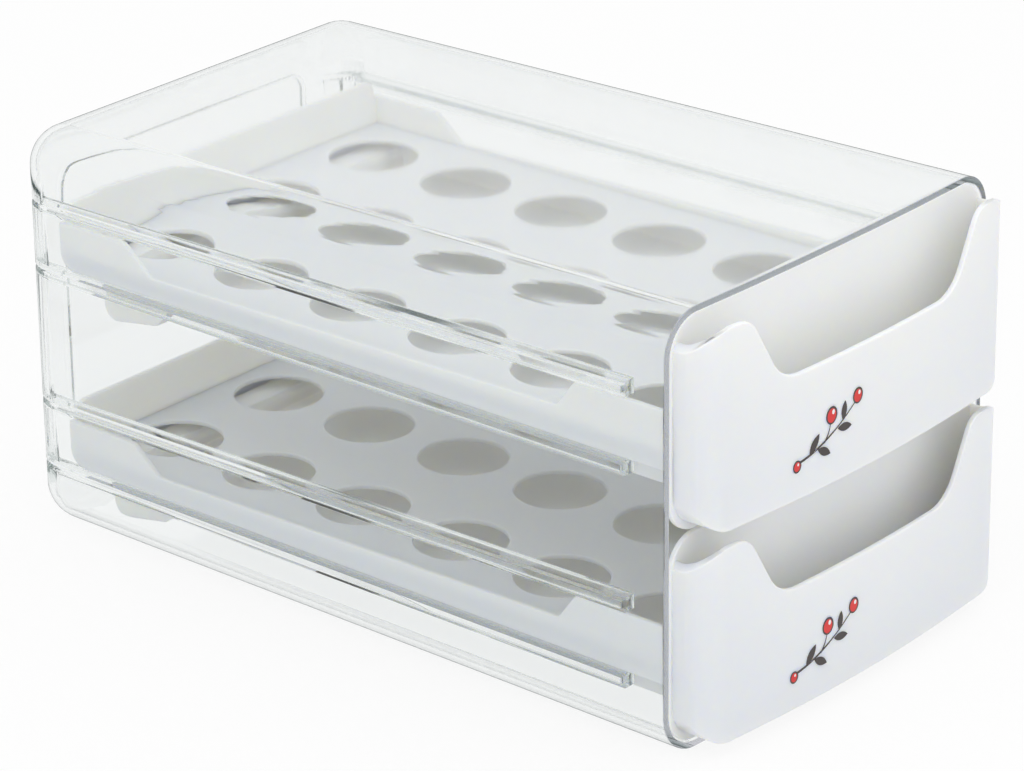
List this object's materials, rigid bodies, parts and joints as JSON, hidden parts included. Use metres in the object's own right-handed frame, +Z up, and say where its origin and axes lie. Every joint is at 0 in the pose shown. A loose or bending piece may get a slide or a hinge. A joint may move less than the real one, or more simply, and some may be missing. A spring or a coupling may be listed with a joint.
{
  "type": "egg drawer",
  "caption": "Clear fridge case, open in front, with white egg drawers stacked on moulded rails; each has a scooped hollow front as a pull and a loose rack with round holes.",
  "frame": {"origin": "middle of the case's flat base, at the middle of its depth", "axes": "+X to the right across the front, +Y from the drawers' fronts to the case's back, +Z up"},
  "size_m": [0.1884, 0.339, 0.1686],
  "materials": {
    "clear_plastic": "clear, glossy moulded plastic",
    "white_plastic": "white moulded plastic with a soft gloss",
    "rack_plastic": "white moulded plastic with a soft gloss"
  },
  "bodies": {
    "case": {"case_shell": "clear_plastic"},
    "upper_drawer": {"upper_drawer": "white_plastic", "upper_egg_rack": "rack_plastic"},
    "lower_drawer": {"lower_drawer": "white_plastic", "lower_egg_rack": "rack_plastic"}
  },
  "joints": [
    {"name": "upper_drawer_slide", "type": "slide", "parent": "case", "child": "upper_drawer", "axis": [0, -1, 0], "range_m": [0, 0.245]},
    {"name": "lower_drawer_slide", "type": "slide", "parent": "case", "child": "lower_drawer", "axis": [0, -1, 0], "range_m": [0, 0.245]}
  ]
}
